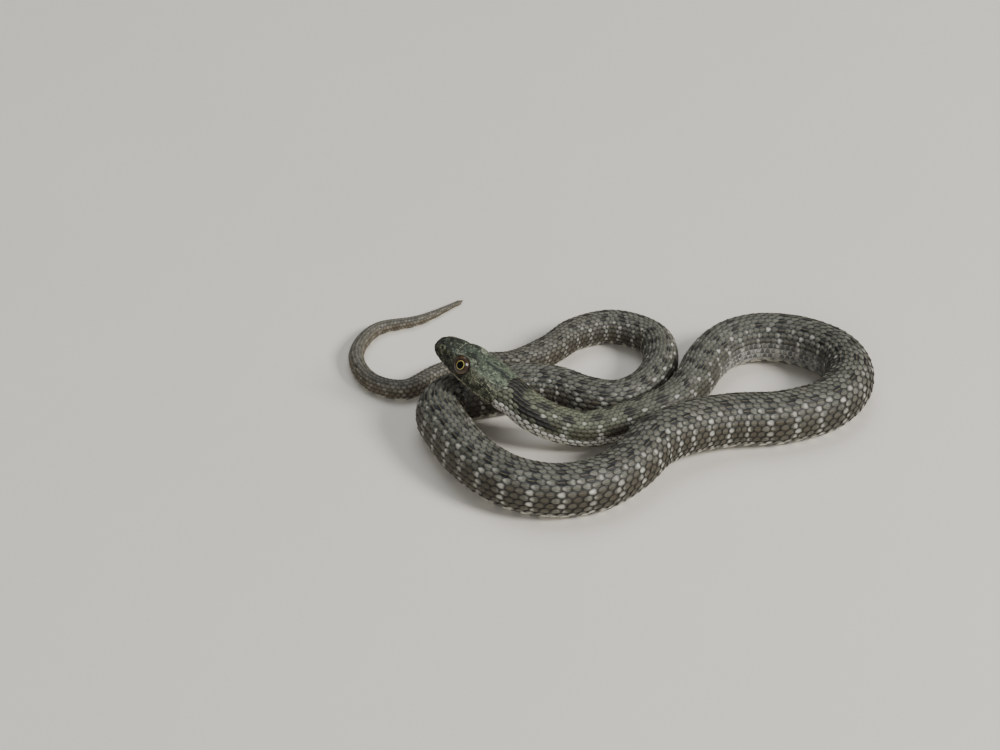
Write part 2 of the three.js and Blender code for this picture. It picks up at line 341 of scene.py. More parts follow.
class Finish:
    """A procedural finish: one principled surface and the nodes that feed it."""

    def __init__(self, name, **settings):
        self.material = bpy.data.materials.new(name)
        self.material.use_nodes = True
        self.tree = self.material.node_tree
        self.surface = self.tree.nodes["Principled BSDF"]
        for key, number in settings.items():
            self.surface.inputs[key.replace("_", " ")].default_value = number

    def node(self, kind, settings, *sockets, out=0, **named):
        """Adds a node; None leaves a socket alone, and the rest are values or links."""
        made = self.tree.nodes.new(kind)
        for key, setting in settings.items():
            setattr(made, key, setting)
        for key, given in list(enumerate(sockets)) + list(named.items()):
            if given is not None:
                self.feed(made.inputs[key if isinstance(key, int) else key.replace("_", " ")], given)
        return Tint(self, made.outputs[out])

    def feed(self, socket, given):
        """Gives a socket a link, or one number or colour for everywhere."""
        if isinstance(given, Tint):
            self.tree.links.new(given.socket, socket)
        else:
            socket.default_value = given

    def read(self, name):
        return self.node("ShaderNodeAttribute", {"attribute_name": name}, out="Fac")

    def noise(self, size, detail=2.0, roughness=0.5):
        """Soft noise whose patches are about size millimetres across, from 0 to 1."""
        return self.node(
            "ShaderNodeTexNoise", {}, Vector=self.node("ShaderNodeTexCoord", {}, out="Object"),
            Scale=0.6 / (size * MM), Detail=detail, Roughness=roughness,
        )

    def mix(self, share, first, second):
        """The first colour going over to the second one; a plain colour is given by its code."""
        ends = [shade(given) if isinstance(given, str) else given for given in (first, second)]
        sockets = [share, None, None, None, None, None, *ends]
        settings = {"data_type": "RGBA", "blend_type": "MIX", "clamp_factor": True}
        return self.node("ShaderNodeMix", settings, *sockets, out=2)

    def coats(self, colour, *laid):
        """A colour with others laid over it in turn, each with how much of it covers."""
        for share, over in laid:
            colour = self.mix(share, colour, over)
        return colour

    def wear(self, pieces, colour, roughness, relief=None, depth=0.03):
        """Links the finish's colour, roughness and relief, and puts it on its pieces."""
        self.feed(self.surface.inputs["Base Color"], colour)
        self.feed(self.surface.inputs["Roughness"], roughness)
        if relief is not None:
            bump = self.node("ShaderNodeBump", {}, Height=relief, Strength=1.0, Distance=depth * MM)
            self.feed(self.surface.inputs["Normal"], bump)
        for piece in pieces:
            piece.data.materials.append(self.material)


def shade(hex_code):
    """A colour as seen, turned into light amounts."""
    parts = [int(hex_code[k:k + 2], 16) / 255 for k in (0, 2, 4)]
    return (*(c / 12.92 if c < 0.04045 else ((c + 0.055) / 1.055) ** 2.4 for c in parts), 1.0)


# the markings, one pattern for hide, scales and plates; the tables count the dark blotches
# on the left and on the right of the back against the distance along the body
LEFT_COUNT = np.array([
    (-14, -3), (6.4, 1), (11.0, 2), (23.6, 4), (41.8, 7), (73.4, 13),
    (84.4, 15), (212.2, 43), (232.4, 48), (288, 63), (357, 88),
])
RIGHT_COUNT = np.array([
    (-14, -3.4), (9.0, 1), (43, 7), (93, 17), (98, 18), (128.8, 25),
    (139.4, 28), (166.6, 34), (212, 44.5), (288, 63.5), (357, 88.5),
])
BLOTCH_SHARE = 0.13
# the dark arm on each side of the nape: distance along the body, share of the way round, half width
NAPE_ARM = np.array([
    (-2, 0.05, 0.05), (-1, 0.09, 0.07), (0, 0.13, 0.085), (2, 0.235, 0.095), (4, 0.30, 0.09),
    (6, 0.375, 0.08), (9, 0.45, 0.07), (12, 0.48, 0.05),
])


def blotch_near(along, share):
    """How far behind the nearest blotch of its side a place lies, and how far apart they are."""
    before, here, after = (
        np.where(share >= 0, np.interp(at, *LEFT_COUNT.T), np.interp(at, *RIGHT_COUNT.T))
        for at in (along - 2, along, along + 2)
    )
    apart = 4 / np.maximum(after - before, 0.1)
    return (here - np.round(here)) * apart, apart


def dark_marks(along, share):
    """Blotches in two rows beside the ridge, and on the nape a dark V that runs down the neck."""
    side = np.abs(share)
    behind, apart = blotch_near(along, share)
    half_long = (0.60 + 0.6 * (1 - smooth(along, 20, 50))) * np.minimum(1, apart / 4.2)
    middle = BLOTCH_SHARE + 0.07 * np.exp(-((along - 10.8) / 1.5) ** 2)
    blotch = 1 - smooth(np.hypot(behind / half_long, (side - middle) / 0.085), 0.85, 1.15)
    arm_at, arm_share, arm_half = NAPE_ARM.T
    off_arm = np.abs(side - np.interp(along, arm_at, arm_share)) / np.interp(along, arm_at, arm_half)
    nape = (1 - smooth(off_arm, 0.8, 1.15)) * (along > -2.4) * (along < 12)
    nape = nape * (1 - 0.6 * smooth(along, 7, 10))
    streak = (side < 0.09) * smooth(along, -2.5, -1.5) * (1 - smooth(along, 1.5, 3.0)) * 0.8
    marks = np.maximum(np.maximum(blotch * (along > 5), nape), streak)
    return marks * (1 - 0.5 * smooth(along, 256, 300))


def dusky_marks(along, share):
    """Soft brown patches low on the flanks, between the pale bars; strongest on the neck."""
    side = np.abs(share)
    behind = blotch_near(along, share)[0]
    window = smooth(side, 0.26, 0.36) * (1 - smooth(side, 0.56, 0.66))
    fade = 0.95 - 0.5 * smooth(along, 30, 46) * (1 - smooth(along, 90, 115))
    fade = fade * smooth(along, 4, 9) * (1 - 0.6 * smooth(along, 250, 290))
    return smooth(np.abs(behind), 0.5, 1.15) * window * fade


def pale_wash(along, share):
    """The left flank behind the neck, where a wide bend shows pale hide round the scales."""
    side = np.abs(share)
    stretch_of_it = smooth(along, 42, 54) * (1 - smooth(along, 78, 92))
    return (share > 0) * stretch_of_it * smooth(side, 0.32, 0.56)


def check_turn(along, share):
    """High where the belly's checks are dark; they stand by turns on the left and right."""
    return np.sin(along * 2.1 + 0.9 * np.sin(along * 0.37)) * np.sign(share)


def pale_marks(along, share):
    """A pale bar of spots under each blotch, one spot between blotches and a pale lower edge."""
    side = np.abs(share)
    behind, apart = blotch_near(along, share)
    bar = smooth(side, 0.235, 0.275) * (1 - smooth(side, 0.60, 0.68))
    bar = bar * (1 - smooth(np.abs(behind), 0.28, 0.68))
    between = np.abs(np.abs(behind) - apart / 2)
    spot = (1 - smooth(between, 0.35, 0.75)) * (1 - smooth(np.abs(side - 0.215), 0.025, 0.055))
    tail = 1 - 0.75 * smooth(along, 250, 300)
    edge = smooth(side, 0.60, 0.66) * (0.2 + 0.8 * smooth(-check_turn(along, share), -0.25, 0.1))
    start = 0.43 + 0.09 * smooth(along, 3, 7)
    collar = smooth(side, start, start + 0.05) * smooth(along, -3, -1)
    collar = collar * (1 - 0.45 * smooth(along, 24, 40)) * (1 - smooth(along, 84, 105))
    collar = collar * (1 - 0.85 * pale_wash(along, share))
    collar = collar * (1 - smooth(along, 46, 54) * (side < 0.6) * (share > 0))
    marks = np.maximum(np.maximum(bar, 0.85 * spot) * tail, edge * (0.4 + 0.6 * tail))
    return np.maximum(marks, collar)


def hide():
    """The tube of the hide: its points, faces, flat map and what its finish reads."""
    rows = np.append(np.arange(-HEAD_LENGTH + 0.5, SPINE_LENGTH - 0.6, 0.75), SPINE_LENGTH - 0.05)
    columns = 72
    around = np.linspace(-1, 1, columns, endpoint=False)
    along, share = (grid.ravel() for grid in np.meshgrid(rows, around, indexing="ij"))
    points = lay(along, share, HIDE_DEPTH * np.clip(girth_at(along) / 3, 0.35, 1))
    ring, heading = points[-columns:], unit(spine[-1] - spine[-20])
    for shrink, ahead in ((0.82, 0.35), (0.55, 0.7), (0.22, 0.95)):
        tip = ring.mean(0) + (ring - ring.mean(0)) * shrink + heading * ahead
        points = np.vstack([points, tip])
        along, share = (np.append(given, given[-columns:]) for given in (along, share))
    values = {
        "blotch": dark_marks(along, share),
        "pale": np.maximum(pale_marks(along, share), 2 * pale_wash(along, share)),
        "crease": table_at(squeezed, along, share),
        "tip": smooth(along, SPINE_LENGTH - 1.6, SPINE_LENGTH - 0.6),
    }
    return points, tube_faces(len(points) // columns, columns), values, unrolled(along, share)


hide_piece = make_piece("hide", *hide())
bare = Finish("bare hide", Specular_IOR_Level=0.35)
hide_colour = bare.coats(
    bare.mix(bare.noise(1.2), "26251e", "3a392f"),
    (bare.read("pale") * 0.4, "8f8c7c"),
    (bare.read("blotch") * 0.7, "14151c"),
    (bare.read("crease") * 0.7, "80705f"),
    (bare.read("tip"), "5f5647"),
)
bare.wear([hide_piece], hide_colour, 0.62, bare.noise(0.25, 3.0), 0.04)
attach(hide_piece, "root")
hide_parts(*[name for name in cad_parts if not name.startswith("eye")])

# ------------------------ the back scales
# Horny keeled scales in staggered rows, each growing from the hide at its front
# and lying free at its rear end over the next. Narrow and pointed along the back,
# rounder on the flank, smaller on the neck and tail.

DORSAL_SHARE = 0.725
SCALE_OVERLAP = 1.50
SCALE_THICKNESS = 0.085
SCALE_V = np.array([-1, -0.86, -0.58, -0.16, 0, 0.16, 0.58, 0.86, 1])
SCALE_U = np.array([0.1, 0.34, 0.58, 0.78, 0.92, 1.0])
PAST_TAIL = 400
# how far back each count of rows beside the ridge row reaches
ROW_ZONES = ((256, 9), (287, 8), (304, 6), (322, 5), (338, 4), (PAST_TAIL, 3))
# the widest patch of a scale on the flat map
PATCH = 0.003
# the gap between crosswise lines of scales at its least, and its growth with the radius
LINE_GAP, GAP_GROWTH = 0.47, 0.213

lines = [-3.6]
while lines[-1] < SPINE_LENGTH - 0.9:
    lines.append(lines[-1] + LINE_GAP + GAP_GROWTH * float(girth_at(lines[-1])))
scale_lines = np.array(lines)
line_step = np.gradient(scale_lines)


def dorsal_places():
    """One entry per scale: distance, share of the way round, row, rows in use, line."""
    found = []
    for k, along in enumerate(scale_lines):
        rows = next(count for reach, count in ROW_ZONES if along < reach)
        for row in range(-rows, rows + 1):
            at = along + (0.5 * line_step[k] if row % 2 else 0)
            x = row / (rows + 0.5)
            found.append((at, DORSAL_SHARE * x * (0.88 + 0.12 * abs(x)), row, rows, k))
    return np.array(found).T


def scale_field(at, share, row, rows, step, seed):
    """Every scale of a stretch as one mesh of leaf-shaped keeled plates with a turned-down rim."""
    chance = np.random.default_rng(seed)
    count = len(at)
    scatter, tilt = chance.random(count), 0.85 + 0.3 * chance.random((count, 1))
    low = (np.abs(row) / rows)[:, None]
    wide = (half_round_at(at) * DORSAL_SHARE / (rows + 0.5))[:, None]
    wide = wide * (0.88 + 0.24 * low) * (1 - 0.10 * low)
    pull = table_at(stretch, at, share)[:, None]
    long = step[:, None] * (SCALE_OVERLAP - 0.12 * low) * np.clip(pull, 0.55, 1.2)
    per_mm = 1 / np.maximum(pull, 0.3)
    size = np.clip(wide / 1.15, 0.4, 1.1)

    u, v = (grid.ravel() for grid in np.meshgrid(SCALE_U, SCALE_V, indexing="ij"))
    edge = np.abs(v)
    blunt = 1.35 + 0.75 * low
    shoulder = 0.38 + 0.16 * low
    rear = u * (shoulder + (1 - shoulder) * (1 - edge**blunt) ** (1 / blunt))
    keel = np.clip(1 - edge / 0.16, 0, 1) * smooth(u, 0.05, 0.4)
    along = at[:, None] + (rear - 0.58) * long * per_mm
    aside = wide * (0.60 - 0.06 * low) * v * (0.85 + 0.15 * smooth(rear, 0, 0.4))
    lift = -0.18 + 0.16 * rear * tilt - (0.075 + 0.04 * low) * edge**2 + (0.07 - 0.045 * low) * keel
    lift = size * lift - 0.25 * (1 - smooth(along, -2.4, -1.0))

    # the rim is turned down along the sides and the rear, and the scale is closed underneath
    rows_u, rows_v = len(SCALE_U), len(SCALE_V)
    border = np.concatenate([
        np.arange(rows_u) * rows_v,
        (rows_u - 1) * rows_v + np.arange(1, rows_v),
        np.arange(rows_u - 2, -1, -1) * rows_v + rows_v - 1,
    ])
    along = np.hstack([along, along[:, border] - 0.03 * long * per_mm])
    aside = np.hstack([aside, aside[:, border] * 0.96])
    lift = np.hstack([lift, lift[:, border] - size * SCALE_THICKNESS])
    around = share[:, None] + aside / half_round_at(at)[:, None]
    points = lay(along, around, lift)

    k, cells = np.arange(len(border) - 1), len(u)
    skirt = np.stack([border[k], border[k + 1], cells + k + 1, cells + k], 1)
    i, last = np.arange(rows_u - 1), len(border) - 1
    underside = cells + np.stack([i, i + 1, last - 1 - i, last - i], 1)
    rear_end = cells + np.arange(rows_u - 1, last - rows_u + 2)[None]
    front_end = np.concatenate([[cells, cells + last], np.arange(rows_v)[::-1]])[None]
    total = cells + len(border)
    faces = [copies(np.concatenate([grid_faces(rows_u, rows_v), skirt, underside]), count, total)]
    faces += [copies(end, count, total) for end in (rear_end, front_end)]

    spot = np.stack([u - 0.5, v / 2], 1)
    spot = np.concatenate([spot, spot[border] * 0.97])
    patch = np.minimum(PATCH, 0.8 * step / WHOLE_LENGTH)
    flat = unrolled(at, share)[:, None] + spot * patch[:, None, None]

    def each(numbers):
        return np.repeat(numbers, total)

    def every(numbers, at_border):
        return np.tile(np.append(numbers, np.full(len(border), at_border)), count)

    # a pale mark is brightest in the middle of its scale; low on the neck whole scales are pale
    collar = smooth(np.abs(share), 0.42, 0.50) * (1 - smooth(at, 24, 46))
    pale_share = np.maximum(0.35 + 0.6 * chance.random(count), collar)
    centre = np.exp(-((u - 0.66) / 0.26) ** 2 - (v / 0.70) ** 2)
    every_cell = np.append(centre, centre[border])
    every_cell = every_cell + (1 - every_cell) * collar[:, None]
    values = {
        "blotch": each(smooth(dark_marks(at, share), 0.3, 0.7) * (0.84 + 0.16 * scatter)),
        "dusk": each(dusky_marks(at, share) * (0.5 + 0.5 * chance.random(count))),
        "pale": (pale_marks(along, around) * pale_share[:, None] * every_cell).ravel(),
        "wash": each(pale_wash(at, share)), "tone": each(scatter),
        "flank": each(np.abs(share)), "along": each(at / SPINE_LENGTH),
        "keel": every(keel, 0), "edge": every(edge, 1.1),
        "rear": np.hstack([rear, np.full((count, len(border)), 1.1)]).ravel(),
    }
    return points.reshape(-1, 3), faces, values, flat.reshape(-1, 2)


places = dorsal_places()
STRETCHES = (
    ("neck_scales", 34), ("forebody_scales", 110), ("middle_scales", 180),
    ("hindbody_scales", 256), ("tail_scales", PAST_TAIL),
)
reach, scale_pieces = -99, []
for seed, (name, end) in enumerate(STRETCHES):
    at, share, row, rows, k = places[:, (places[0] >= reach) & (places[0] < end)]
    piece = make_piece(name, *scale_field(at, share, row, rows, line_step[k.astype(int)], seed))
    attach(piece, "root")
    scale_pieces.append(piece)
    reach = end

horn = Finish("keeled scale horn", Specular_IOR_Level=0.32)
flank, keel, edge, rear = (horn.read(name) for name in ("flank", "keel", "edge", "rear"))
dark, pale, tone, wash = (horn.read(name) for name in ("blotch", "pale", "tone", "wash"))
down_body = horn.read("along")
low = flank.over(0.12, 0.45)
on_tail = down_body.over(0.72, 0.86)
tail_back, tail_side = horn.mix(tone, "504f48", "6a6861"), horn.mix(tone, "4c4437", "675d4e")
ridge = keel * (0.3 + 0.15 * dark + 0.15 * on_tail - 0.22 * flank.over(0.2, 0.5))
# root marks the front of each scale, just behind the tip of the scale ahead; it carries painted
# shade
root = rear.under(0.30, 0.46)
fore = (rear - 0.66) / 0.34
# each scale's rim and rear tip are darkened: partly the scale's own dark edge, partly painted shade
# in the gaps between scales; in the pale wash the rim is pale hide instead
oval = (fore * fore + edge * edge).over(0.70, 1.08) * (0.15 + 0.52 * low) * (1 - 0.45 * on_tail)
rim_and_gap_shade = oval.or_more(rear.over(0.84, 0.98) * (0.7 - 0.25 * low))
scale_colour = horn.coats(
    horn.mix(tone, "484943", "686961"),
    # the flanks are browner and darker than the back: the brown is the scales' own colour, while the
    # back's paler grey is partly painted sheen from the sky above
    (flank.over(0.24, 0.6), horn.mix(tone, "3a3830", "58554b")),
    (on_tail, horn.mix(low, tail_back, tail_side)),
    (down_body.under(0.02, 0.12) * 0.8, horn.mix(tone, "454a3b", "71775f")),
    (horn.noise(7.0).over(0.4, 0.7) * 0.3, "4a483e"),
    (horn.read("dusk") * 0.75, "3f3729"),
    (wash * 0.8, horn.mix(tone.over(0.55, 0.9), "5c5d5e", "8e8d88")),
    (pale, "dddbcf"),
    (dark, "0e0f17"),
    (ridge, "a2966a"),
    # painted shade at each scale's front, under the tip of the scale ahead
    (root * (0.55 - 0.2 * wash), "1c1a15"),
    # dark rims and tips: partly the scales' own edges, partly painted shade between scales
    (rim_and_gap_shade * 0.85, horn.mix(wash, "191713", "cbc9be")),
    (horn.noise(0.2, 3.0).over(0.45, 0.65) * 0.3, "33312c"),
)
horn.wear(scale_pieces, scale_colour, 0.45 + 0.2 * horn.noise(1.5), horn.noise(0.18, 3.0), 0.03)

# ------------------------ the belly plates
# One broad smooth plate per line of back scales, from flank to flank under the
# body, each overlapping the next one behind. Under the tail they stand in pairs.

PLATE_OVERLAP = 1.38
PLATE_U = np.array([0.08, 0.4, 0.7, 0.9, 1.0, 0.99])


def belly_field(first, last, spans):
    """Smooth plates across the underside, or half plates in pairs, with a turned-down rear rim."""
    picked = (scale_lines >= first) & (scale_lines < last)
    at, step = scale_lines[picked][:, None, None], line_step[picked][:, None, None]
    size = np.clip(girth_at(at.ravel()) / 5, 0.35, 1)[:, None, None]
    rows, u = PLATE_U.size, PLATE_U[None, :, None]
    turned = (np.arange(rows) == rows - 1)[None, :, None]
    points, faces, maps, blocks, total = [], [], [], [], 0
    for low, high in spans:
        v = np.linspace(low, high, 27 if high - low > 0.4 else 13)[None, None]
        across = np.abs(2 * (v - low) / (high - low) - 1)
        along = at + step * PLATE_OVERLAP * (u * (1 - 0.2 * across**5) - 0.45)
        lift = size * (-0.17 + 0.15 * u - 0.09 * turned - 0.12 * across**8)
        along, lift, around, across, back, root = np.broadcast_arrays(along, lift, v, across, u, at)
        share = (around + 1) % 2 - 1
        blocks.append({
            "blotch": checks(root, share), "pale": smooth(np.abs(share), 0.66, 0.72),
            "flank": np.abs(share), "rim": np.maximum(smooth(back, 0.82, 1), across**10),
        })
        flat = unrolled(root, around) + PATCH * np.stack([back - 0.5, np.zeros(back.shape)], -1)
        maps.append(flat.reshape(-1, 2))
        points.append(lay(along, around, lift).reshape(-1, 3))
        c, back_row = np.arange(v.size - 1), (rows - 1) * v.size
        underside = np.stack([c + 1, c, back_row + c, back_row + c + 1], 1)
        left_end = np.arange(rows)[None] * v.size
        right_end = left_end[:, ::-1] + v.size - 1
        for faces_of_one in (grid_faces(rows, v.size), underside, left_end, right_end):
            faces.append(total + copies(faces_of_one, at.size, rows * v.size))
        total += along.size
    values = {key: np.hstack([block[key].ravel() for block in blocks]) for key in blocks[0]}
    return np.vstack(points), faces, values, np.vstack(maps)


def checks(along, share):
    """Dark squares that stand by turns on the left and right of the belly."""
    side = np.abs(share)
    band = smooth(side, 0.66, 0.70) * (1 - smooth(side, 0.84, 0.94))
    return (check_turn(along, share) > 0.15) * band


LEFT_EDGE, RIGHT_EDGE = DORSAL_SHARE - 0.03, 2.03 - DORSAL_SHARE
belly_piece = make_piece("belly_plates", *belly_field(-1.5, VENT, [(LEFT_EDGE, RIGHT_EDGE)]))
halves = [(LEFT_EDGE, 1.02), (0.98, RIGHT_EDGE)]
tail_pairs = make_piece("tail_plates", *belly_field(VENT, PAST_TAIL, halves))
plate = Finish("smooth belly plate", Specular_IOR_Level=0.5)
inward = plate.read("flank").over(0.78, 0.98)
plate_colour = plate.coats(
    plate.mix(inward, "77725f", "c9c1a6"),
    (plate.read("pale") * 0.9, "dcd9c9"),
    (plate.read("blotch") * 0.9, "2a2b2c"),
    (plate.read("rim") * 0.5, "4a4538"),
    (plate.noise(0.3) * 0.2, "5c5848"),
)
plate_gloss, plate_relief = 0.34 + 0.15 * plate.noise(1.0), plate.noise(0.5)
plate.wear([belly_piece, tail_pairs], plate_colour, plate_gloss, plate_relief, 0.02)
for piece in (belly_piece, tail_pairs):
    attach(piece, "root")

# ------------------------ the head plates
# Large smooth shields, set edge to edge in one sheath of horn that fits over the
# skull, lips and chin. Fine grooves part them, and the sheath ends in a scalloped
# free edge over the first scales of the nape and throat.

GROOVE_DEPTH = 0.08
GROOVE_WIDTH = 0.10
# ahead of the head's back, aside and above its axis; the way it looks, in the same order
EYE_PLACE = (HEAD_LENGTH - 6.96, 3.17, 1.53)
EYE_LOOK = (0.22, 0.88, 0.42)
EYE_OPENING = 1.75
EYE_BULGE = 0.56
EYE_CURVE = (EYE_OPENING**2 + EYE_BULGE**2) / (2 * EYE_BULGE)
NOSTRIL = (1.85, 0.62)
# each groove runs through points: distance from the snout, and turn from the crown,
# where 1 is the side and 2 the chin
PALE_GROOVES = [
    [(4.55, 0), (4.55, 0.18), (4.75, 0.29), (5.0, 0.41)],
    [(5.0, 0.41), (5.6, 0.30), (6.8, 0.215), (8.5, 0.165)],
    [(8.5, 0.165), (9.05, 0.22), (9.45, 0.36)],
    [(10.2, 0.42), (11.6, 0.45), (13.6, 0.48), (15.2, 0.40), (16.2, 0.18)],
]
DARK_GROOVES = [
    [(0.45, 0), (0.55, 0.2), (0.62, 0.42)], [(0.45, 0), (2.1, 0)],
    [(0.55, 0.2), (1.2, 0.36), (2.05, 0.44)], [(2.1, 0), (2.2, 0.22), (2.05, 0.44)],
    [(2.1, 0), (4.55, 0)], [(2.05, 0.44), (2.95, 0.58), (4.3, 0.60)],
    [(4.75, 0.29), (4.9, 0.42), (4.3, 0.60)], [(8.5, 0.165), (9.45, 0)],
    [(9.45, 0), (15.9, 0)], [(9.45, 0.36), (10.2, 0.42)],
]
CHEEK_GROOVES = [
    [(0.62, 0.42), (0.75, 0.75), (0.62, 1.12)],
    [(0.75, 0.75), (1.2, 0.95), (3.1, 0.96), (4.9, 0.99), (5.5, 1.03)],
    [(2.95, 0.58), (3.1, 0.96)], [(4.3, 0.60), (4.4, 0.97)], [(4.35, 0.80), (5.5, 0.80)],
    [(9.45, 0.36), (9.55, 0.58), (9.7, 0.80), (9.1, 0.95), (8.5, 1.03)],
    [(8.6, 0.60), (9.55, 0.58)], [(8.6, 0.80), (9.6, 0.76)],
    [(9.7, 0.80), (11.2, 0.80), (12.6, 0.77), (14.2, 0.81), (15.6, 0.86)],
    [(12.3, 0.465), (12.8, 0.62), (12.5, 0.77)], [(12.8, 0.62), (14.2, 0.64), (15.6, 0.62)],
    [(14.3, 0.455), (14.5, 0.64)], [(14.4, 0.64), (14.4, 0.81)],
]
LIP_SEAMS = (1.9, 3.4, 5.05, 6.75, 8.45, 10.5, 12.7, 14.7)
LIP_TOP = np.array([
    (0, 0.9), (1.2, 0.96), (4.9, 1.0), (6.7, 1.06),
    (8.45, 1.02), (9.7, 0.8), (12.6, 0.77), (15.6, 0.86),
])
CHIN_SEAMS = (0.9, 2.0, 3.3, 4.8, 6.5, 8.3, 10.2, 12.1, 13.8)
CHIN_GROOVES = [
    [(0.5, 1.6), (0.9, 1.56), (2.0, 1.5), (8, 1.46), (14.6, 1.42)],
    [(0.9, 1.56), (1.3, 2.0)], [(1.3, 2.0), (9.0, 2.0)], [(5.0, 1.48), (5.3, 2.0)],
    [(5.0, 1.48), (7.4, 1.66), (9.0, 1.9), (9.0, 2.0)],
]
MOUTH = np.array([
    (0.0, 1.13), (1, 1.15), (2, 1.17), (5, 1.21),
    (8, 1.25), (11, 1.22), (13.5, 1.17), (15.0, 1.13),
])
# the sheath's free edge: turn from the crown and distance from the snout
SHEATH_END = np.array([
    (0, 15.6), (0.08, 16.15), (0.2, 16.35), (0.34, 15.9), (0.42, 15.5), (0.52, 15.9), (0.64, 15.6),
    (0.74, 15.9), (0.86, 15.6), (1.0, 15.75), (1.14, 15.3), (1.4, 15.0), (1.7, 14.9), (2.0, 14.7),
])
# soft swellings and hollows: distance from the snout, turn, reach along, reach round, height in mm
SWELLINGS = (
    (3.2, 0.52, 1.6, 0.09, 0.13), (3.6, 0.78, 1.3, 0.13, -0.16), (7.2, 0.36, 1.9, 0.08, 0.12),
    (11.8, 0.62, 2.6, 0.16, 0.10), (12.8, 0.0, 2.4, 0.04, -0.05), (6.8, 0.0, 2.0, 0.14, -0.08),
    (9.0, 1.38, 4.5, 0.10, 0.08), (1.0, 1.10, 0.8, 0.12, 0.10),
)


# for each station of the head, the share of the way round at which each turn stands
turns = np.linspace(0, 2, TURN_STEPS + 1)
runs = [half_outline(along, 0)[2] for along in stations[stations < 0]]
shares_of_turn = np.array([run / run[-1] for run in runs])
# one turn, from crown to side, is about this long
MM_PER_TURN = 4.5
# a station through the eyes stands for the whole head where the sheath is laid out
EYE_STATION = 45


def on_head(at, turn, height=0.0):
    """Points of the head at a distance from the snout and a turn from the crown."""
    at, turn = np.broadcast_arrays(np.asarray(at, float), np.asarray(turn, float))
    share = between_entries(shares_of_turn, at / STEP, np.abs(turn) * TURN_STEPS / 2)
    return lay(at - HEAD_LENGTH, share * np.sign(turn), height)


def both_sides(paths):
    """Close-set points along grooves, on both sides of the head."""
    found = []
    for path in paths:
        path = np.array(path, float)
        for a, b in zip(path[:-1], path[1:]):
            count = max(2, int(np.hypot(*(b - a) * (1, MM_PER_TURN)) / 0.05))
            step = a + (b - a) * np.linspace(0, 1, count)[:, None]
            found += [on_head(step[:, 0], step[:, 1]), on_head(step[:, 0], -step[:, 1])]
    return np.vstack(found)


def nearest(points, targets):
    """The distance from each point to the closest target."""
    points, targets = (np.asarray(p - points.mean(0), np.float32) for p in (points, targets))
    best, at_once = [], 4000
    for k in range(0, len(points), at_once):
        part = points[k:k + at_once]
        gap = (part**2).sum(1)[:, None] + (targets**2).sum(1) - 2 * part @ targets.T
        best.append(gap.min(1))
    return np.sqrt(np.maximum(np.concatenate(best), 0))


def lip_grooves():
    """Upright seams between the lips' plates, and the small scales of the throat."""
    paths = list(CHIN_GROOVES)
    for at in LIP_SEAMS:
        paths.append([(at - 0.1, np.interp(at, *LIP_TOP.T)), (at, np.interp(at, *MOUTH.T))])
    for at in CHIN_SEAMS:
        paths.append([(at, np.interp(at, *MOUTH.T)), (at + 0.15, 1.47)])
    for row in range(3):
        turn = 1.48 + 0.17 * row
        for k in range(6):
            at = 6.6 + 1.5 * k + 0.75 * (row % 2) + 0.9 * row
            if at < 14.2:
                paths.append([(at, turn), (at + 0.75, turn + 0.085), (at + 1.5, turn)])
                paths.append([(at + 0.75, turn + 0.085), (at + 1.5, turn + 0.17)])
    return paths


def eye_axes(side):
    """Middle of an eye's opening, the way it looks, and the head's forward and up."""
    nape, left, up, back, _ = (v[0] for v in axes_at(np.array([0.0])))
    axes = np.array([-back, left * side, up])
    return nape + EYE_PLACE @ axes, unit(EYE_LOOK @ axes), -back, up


def open_sockets(points):
    """Draws the sheath to each eye's round rim, and says how far outside it each point lies."""
    outside = np.full(len(points), 9.0)
    for side in (1, -1):
        middle, look, _, up = eye_axes(side)
        away = points - middle
        out = away @ look
        flat = away - out[:, None] * look
        gap = np.linalg.norm(flat, axis=1)
        close = (np.abs(out) < 1.9) & (gap < 3.4)
        at_rim = np.abs(gap - EYE_OPENING) < 0.055
        held = np.where(at_rim, EYE_OPENING, gap)
        flat = flat * (held / np.maximum(gap, 1e-6))[:, None]
        brow = smooth(flat @ unit(up - (up @ look) * look) / np.maximum(held, 1e-6), 0.2, 0.8)
        off = smooth(held, EYE_OPENING, EYE_OPENING + 0.95 - 0.35 * brow)
        ridge = (0.06 + 0.10 * brow) * np.exp(-((held - EYE_OPENING - 0.24) / 0.2) ** 2)
        lip = 0.05 * (1 - off) + out * off + ridge
        dome = np.sqrt(EYE_CURVE**2 - np.minimum(held, EYE_OPENING) ** 2) - EYE_CURVE + EYE_BULGE
        lip = np.where(held < EYE_OPENING, dome - 0.30, lip)
        points = np.where(close[:, None], middle + flat + look * lip[:, None], points)
        outside = np.where(close, np.minimum(outside, held - EYE_OPENING), outside)
    return points, outside


